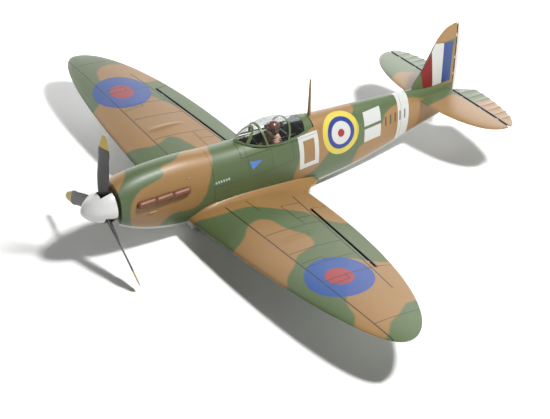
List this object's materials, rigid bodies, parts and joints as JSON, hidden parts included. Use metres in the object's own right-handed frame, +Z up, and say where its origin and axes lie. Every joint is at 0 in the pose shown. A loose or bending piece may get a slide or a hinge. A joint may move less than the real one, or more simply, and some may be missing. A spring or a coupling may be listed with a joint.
{
  "type": "radio-controlled warbird aeroplane",
  "caption": "Small radio-controlled low-wing aeroplane with an elliptical wing, hinged control surfaces, a spinning propeller and a lift-off cockpit hatch.",
  "frame": {"origin": "on the flat rest face of the belly pan, on the centre line below the balance point", "axes": "+X towards the left wing tip, -Y towards the nose along the thrust line, +Z up"},
  "size_m": [0.8, 0.6304, 0.1896],
  "materials": {
    "camouflage_foam": "satin painted foam, green and brown above",
    "pale_foam": "satin painted foam, pale grey",
    "painted_tail": "satin painted foam",
    "brown_metal_paint": "brown metallic paint",
    "white_spinner": "glossy",
    "grey_blade": "satin dark grey with yellow tips",
    "black_plastic": "satin",
    "white_nylon": "satin",
    "steel_wire": "bright wire",
    "aluminium": "satin",
    "carbon": "satin carbon tube",
    "plywood": "bare plywood",
    "cockpit_green": "satin",
    "clear_canopy": "clear thin plastic",
    "pilot_cloth": "painted figure",
    "pilot_helmet": "painted brown helmet",
    "battery_wrap": "shrink wrap"
  },
  "bodies": {
    "airframe": {"fuselage_left_half": "camouflage_foam", "fuselage_right_half": "camouflage_foam", "nose_cowl": "camouflage_foam", "wing_left": "camouflage_foam", "wing_right": "camouflage_foam", "wing_fillet_left": "camouflage_foam", "wing_fillet_right": "camouflage_foam", "belly_pan": "pale_foam", "wing_joiner_tube": "carbon", "radiator_housing": "pale_foam", "oil_cooler": "pale_foam", "exhaust_stack_left": "brown_metal_paint", "exhaust_stack_right": "brown_metal_paint", "antenna_mast": "brown_metal_paint", "stabilizer": "camouflage_foam", "fin": "camouflage_foam", "tail_hinges": "white_nylon", "aileron_hinges_left": "white_nylon", "aileron_hinges_right": "white_nylon", "aileron_servo_left": "black_plastic", "aileron_servo_right": "black_plastic", "rudder_servo": "black_plastic", "elevator_servo": "black_plastic", "servo_tray": "plywood", "motor_box": "plywood", "firewall": "plywood", "motor_stator": "aluminium", "battery": "battery_wrap", "speed_controller": "black_plastic"},
    "propeller_unit": {"motor_bell": "aluminium", "motor_shaft": "steel_wire", "spinner_backplate": "black_plastic", "propeller": "grey_blade", "spinner_cone": "white_spinner"},
    "left_aileron": {"aileron_left": "camouflage_foam", "aileron_horn_left": "white_nylon"},
    "right_aileron": {"aileron_right": "camouflage_foam", "aileron_horn_right": "white_nylon"},
    "elevator": {"elevator_left": "painted_tail", "elevator_right": "painted_tail", "elevator_joiner": "steel_wire", "elevator_horn": "white_nylon"},
    "rudder_unit": {"rudder": "painted_tail", "rudder_horn": "white_nylon"},
    "hatch": {"hatch_deck": "camouflage_foam", "canopy_frame": "cockpit_green", "windscreen_glass": "clear_canopy", "hood_glass": "clear_canopy", "rear_glass": "clear_canopy", "cockpit_tub": "cockpit_green", "pilot_body": "pilot_cloth", "pilot_head": "pilot_helmet"},
    "left_aileron_arm": {"aileron_servo_arm_left": "white_nylon"},
    "right_aileron_arm": {"aileron_servo_arm_right": "white_nylon"},
    "elevator_arm": {"elevator_servo_arm": "white_nylon"},
    "rudder_arm": {"rudder_servo_arm": "white_nylon"},
    "left_aileron_rod": {"aileron_pushrod_left": "steel_wire"},
    "right_aileron_rod": {"aileron_pushrod_right": "steel_wire"},
    "elevator_rod": {"elevator_pushrod": "steel_wire"},
    "rudder_rod": {"rudder_pushrod": "steel_wire"}
  },
  "joints": [
    {"name": "propeller_spin", "type": "hinge", "parent": "airframe", "child": "propeller_unit", "pos_m": [0, -0.1695, 0.0785], "axis": [0, 1, 0], "continuous": true},
    {"name": "left_aileron_hinge", "type": "hinge", "parent": "airframe", "child": "left_aileron", "pos_m": [0.1006, 0.0802, 0.03649], "axis": [0.9897, -0.1146, 0.086], "range_deg": [-20, 20]},
    {"name": "right_aileron_hinge", "type": "hinge", "parent": "airframe", "child": "right_aileron", "pos_m": [-0.1006, 0.0802, 0.03649], "axis": [0.9897, 0.1146, -0.086], "range_deg": [-20, 20]},
    {"name": "elevator_hinge", "type": "hinge", "parent": "airframe", "child": "elevator", "pos_m": [0, 0.3968, 0.0769], "axis": [1, 0, 0], "range_deg": [-22, 22]},
    {"name": "rudder_hinge", "type": "hinge", "parent": "airframe", "child": "rudder_unit", "pos_m": [0, 0.4057, 0.115], "axis": [0, 0, 1], "range_deg": [-72, 0]},
    {"name": "left_aileron_arm_pivot", "type": "hinge", "parent": "airframe", "child": "left_aileron_arm", "pos_m": [0.11138, 0.03466, 0.03787], "axis": [0.9897, -0.1146, 0.086], "range_deg": [-20.1, 20.1]},
    {"name": "right_aileron_arm_pivot", "type": "hinge", "parent": "airframe", "child": "right_aileron_arm", "pos_m": [-0.11138, 0.03466, 0.03787], "axis": [0.9897, 0.1146, -0.086], "range_deg": [-20.1, 20.1]},
    {"name": "elevator_arm_pivot", "type": "hinge", "parent": "airframe", "child": "elevator_arm", "pos_m": [-0.0152, 0.2068, 0.0769], "axis": [1, 0, 0], "range_deg": [-22.1, 22.1]},
    {"name": "rudder_arm_pivot", "type": "hinge", "parent": "airframe", "child": "rudder_arm", "pos_m": [0, 0.1707, 0.084], "axis": [0, 0, 1], "range_deg": [-72.1, 0.1]},
    {"name": "left_aileron_rod_slide", "type": "slide", "parent": "airframe", "child": "left_aileron_rod", "axis": [0.115, 0.9934, 0], "range_m": [-0.00396, 0.00396]},
    {"name": "right_aileron_rod_slide", "type": "slide", "parent": "airframe", "child": "right_aileron_rod", "axis": [-0.115, 0.9934, 0], "range_m": [-0.00396, 0.00396]},
    {"name": "elevator_rod_slide", "type": "slide", "parent": "airframe", "child": "elevator_rod", "axis": [0, 1, 0], "range_m": [-0.0044, 0.0044]},
    {"name": "rudder_rod_slide", "type": "slide", "parent": "airframe", "child": "rudder_rod", "axis": [0, 1, 0], "range_m": [-0.0001, 0.01555]},
    {"name": "hatch_lift", "type": "slide", "parent": "airframe", "child": "hatch", "axis": [0, 0, 1], "range_m": [0, 0.06]}
  ],
  "couplings": [
    {"joint": "right_aileron_hinge", "follows": "left_aileron_hinge", "ratio": -1},
    {"joint": "left_aileron_arm_pivot", "follows": "left_aileron_hinge", "ratio": 1},
    {"joint": "right_aileron_arm_pivot", "follows": "left_aileron_hinge", "ratio": -1},
    {"joint": "left_aileron_rod_slide", "follows": "left_aileron_hinge", "m_per_rad": 0.0113},
    {"joint": "right_aileron_rod_slide", "follows": "left_aileron_hinge", "m_per_rad": -0.0113},
    {"joint": "elevator_arm_pivot", "follows": "elevator_hinge", "ratio": 1},
    {"joint": "elevator_rod_slide", "follows": "elevator_hinge", "m_per_rad": 0.0114},
    {"joint": "rudder_arm_pivot", "follows": "rudder_hinge", "ratio": 1},
    {"joint": "rudder_rod_slide", "follows": "rudder_hinge", "m_per_rad": -0.0123}
  ]
}
